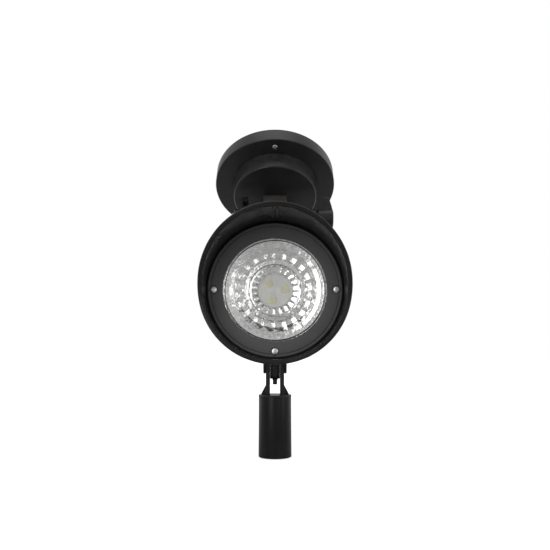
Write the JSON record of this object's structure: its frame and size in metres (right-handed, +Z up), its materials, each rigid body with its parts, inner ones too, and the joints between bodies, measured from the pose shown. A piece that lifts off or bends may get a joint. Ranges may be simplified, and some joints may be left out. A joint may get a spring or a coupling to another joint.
{
  "type": "solar garden spotlight",
  "caption": "Round garden spotlight with a visor hood over a faceted reflector, tilting on a forked pole top, with a tilting round solar panel and battery drum above it.",
  "frame": {"origin": "centre of the pole tube's open lower end", "axes": "+Z up along the pole, the lamp shines along -Y, the hand knob is on +X"},
  "size_m": [0.0976, 0.1649, 0.2401],
  "materials": {
    "pole_metal": "satin black",
    "fork_plastic": "moulded satin black",
    "shell_plastic": "moulded satin black",
    "hood_plastic": "moulded satin black",
    "bezel_plastic": "fine grained black",
    "screw_steel": "zinc plated",
    "clear_lens": "clear polished",
    "clear_optic": "clear ribbed",
    "clear_cover": "clear polished",
    "seal_rubber": "matt",
    "reflector_silver": "vacuum metallised, faceted",
    "white_board": "white solder mask",
    "led_phosphor": "yellow phosphor",
    "spreader_aluminium": "as cast",
    "tray_plastic": "fine grained black",
    "drum_plastic": "moulded satin black",
    "backing_plastic": "matt dark grey",
    "solar_cell": "dark blue cell",
    "ribbon_metal": "tinned",
    "battery_wrap": "shrink wrap",
    "circuit_green": "green solder mask",
    "slider_plastic": "matt black",
    "knob_plastic": "moulded satin black",
    "insert_brass": "turned"
  },
  "bodies": {
    "pole": {"pole_tube": "pole_metal", "fork_plug": "fork_plastic"},
    "head": {"head_shell": "shell_plastic", "panel_yoke": "shell_plastic", "yoke_screws": "screw_steel", "hood": "hood_plastic", "bezel_ring": "bezel_plastic", "bezel_screws": "screw_steel", "lens": "clear_lens", "lens_gasket": "seal_rubber", "reflector": "reflector_silver", "led_optic": "clear_optic", "led_board": "white_board", "led_chips": "led_phosphor", "heat_spreader": "spreader_aluminium", "spreader_screws": "screw_steel", "tilt_screw": "screw_steel", "tilt_nut": "screw_steel", "hinge_bolt": "screw_steel", "knob_washer": "screw_steel"},
    "panel": {"panel_tray": "tray_plastic", "panel_rim": "tray_plastic", "panel_cover": "clear_cover", "panel_gasket": "seal_rubber", "cell_plate": "backing_plastic", "solar_cells": "solar_cell", "cell_ribbons": "ribbon_metal", "battery_drum": "drum_plastic", "drum_screws": "screw_steel", "tray_screws": "screw_steel", "hinge_lug": "drum_plastic", "lug_screws": "screw_steel", "battery_cell": "battery_wrap", "battery_holder": "backing_plastic", "battery_contacts": "ribbon_metal", "circuit_board": "circuit_green", "board_parts": "backing_plastic", "switch_body": "backing_plastic"},
    "slider": {"switch_slider": "slider_plastic"},
    "knob": {"wing_knob": "knob_plastic", "knob_insert": "insert_brass"}
  },
  "joints": [
    {"name": "head_tilt", "type": "hinge", "parent": "pole", "child": "head", "pos_m": [0, 0, 0.0714], "axis": [1, 0, 0], "range_deg": [-75, 50]},
    {"name": "panel_tilt", "type": "hinge", "parent": "head", "child": "panel", "pos_m": [0, 0, 0.1744], "axis": [1, 0, 0], "range_deg": [-45, 60]},
    {"name": "knob_spin", "type": "hinge", "parent": "head", "child": "knob", "pos_m": [0.036, 0, 0.1744], "axis": [1, 0, 0], "continuous": true},
    {"name": "switch_slide", "type": "slide", "parent": "panel", "child": "slider", "axis": [0, 0.8241, -0.5664], "range_m": [0, 0.004]}
  ]
}
